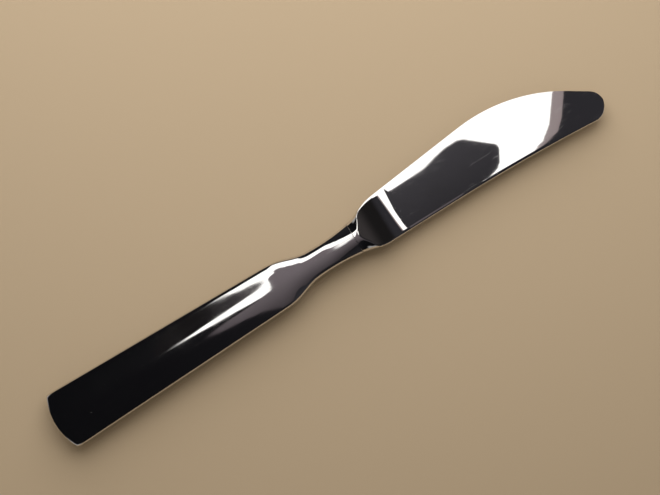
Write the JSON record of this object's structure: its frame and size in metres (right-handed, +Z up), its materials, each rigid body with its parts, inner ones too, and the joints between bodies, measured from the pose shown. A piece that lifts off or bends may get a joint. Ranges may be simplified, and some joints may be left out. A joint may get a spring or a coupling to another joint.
{
  "type": "dessert knife",
  "caption": "Polished steel dessert knife with a waisted hollow handle, a scooped bolster and a broad blade with a rounded nose, lying flat.",
  "frame": {"origin": "under the middle of the knife's box, on the surface that it lies on", "axes": "+X from the butt of the handle to the tip of the blade, +Y towards the cutting edge, +Z up, out of the side that shows when the knife lies flat"},
  "size_m": [0.2, 0.0221, 0.0086],
  "materials": {
    "handle_steel": "mirror polished stainless steel with fine hairline scratches",
    "blade_steel": "mirror polished stainless steel with fine hairline scratches",
    "braze": "polished flush with the shells",
    "solder": "satin",
    "cement": "matte"
  },
  "bodies": {
    "root": {"handle_shell_upper": "handle_steel", "handle_shell_lower": "handle_steel", "handle_seam_braze": "braze", "collar_solder_ring": "solder", "tang_cement": "cement", "blade": "blade_steel"}
  },
  "joints": []
}
